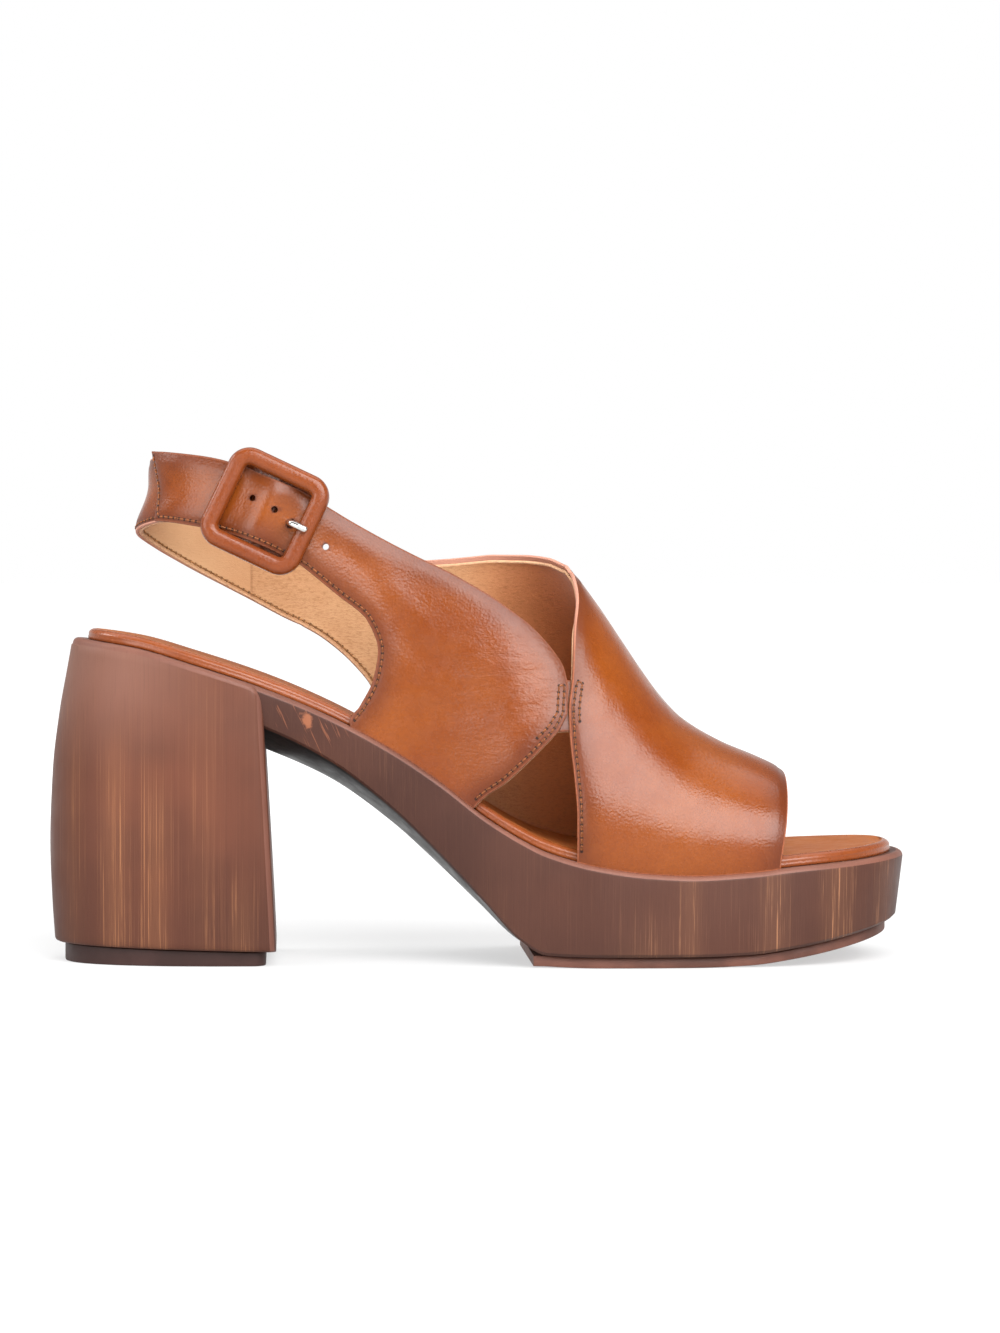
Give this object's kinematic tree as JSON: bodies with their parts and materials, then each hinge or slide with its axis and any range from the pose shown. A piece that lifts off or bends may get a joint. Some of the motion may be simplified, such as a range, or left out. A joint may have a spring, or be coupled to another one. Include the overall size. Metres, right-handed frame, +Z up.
{
  "type": "platform slingback sandal",
  "caption": "Open-toe leather slingback sandal for the right foot, with a covered buckle on its strap, a padded insole and a wood-look platform and block heel.",
  "frame": {"origin": "on the floor, midway along the shoe's length and width", "axes": "+X to the toe, +Z up, -Y to the outer side of a right shoe"},
  "size_m": [0.24, 0.0852, 0.1425],
  "materials": {
    "heel_top_lift": "matt dark brown",
    "heel_block": "brushed brown, satin",
    "platform": "brushed brown, satin, dark grey underneath",
    "forefoot_outsole": "matt dark brown",
    "insole": "smooth tan",
    "upper": "burnished tan with a paler lining",
    "buckle_frame": "leather over a steel frame",
    "buckle_prong": "polished"
  },
  "bodies": {
    "root": {"heel_top_lift": "heel_top_lift", "heel_block": "heel_block", "platform": "platform", "forefoot_outsole": "forefoot_outsole", "insole": "insole", "upper": "upper", "buckle_frame": "buckle_frame", "buckle_prong": "buckle_prong"}
  },
  "joints": []
}
